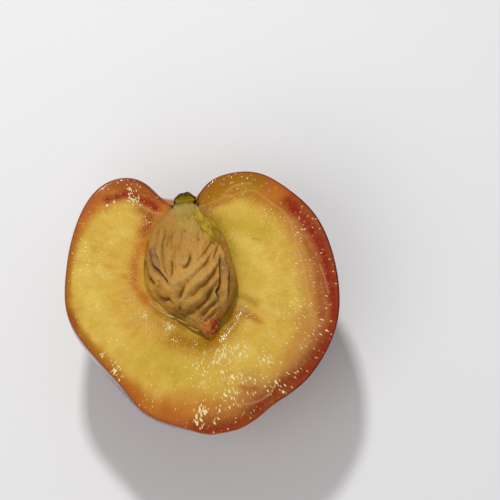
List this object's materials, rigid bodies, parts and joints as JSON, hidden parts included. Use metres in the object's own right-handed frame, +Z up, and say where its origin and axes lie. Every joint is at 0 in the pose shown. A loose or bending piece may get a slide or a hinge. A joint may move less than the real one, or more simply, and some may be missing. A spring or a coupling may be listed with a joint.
{
  "type": "nectarine",
  "caption": "Ripe nectarine cut in half through its stalk, lying cut face up with the furrowed stone and the stub of the stalk in place.",
  "frame": {"origin": "middle of the bounding box seen from above, on the surface that the half lies on", "axes": "+Z up, out of the cut face; +Y towards the stalk; +X towards the right edge of the cut face, where the skin's seam runs"},
  "size_m": [0.07, 0.0716, 0.0424],
  "materials": {
    "nectarine_skin": "glossy",
    "nectarine_flesh": "wet",
    "stone_shell": "matt",
    "stalk_bark": "matt"
  },
  "bodies": {
    "root": {"fruit_half": "nectarine_skin", "stone": "stone_shell", "stalk": "stalk_bark"}
  },
  "joints": []
}
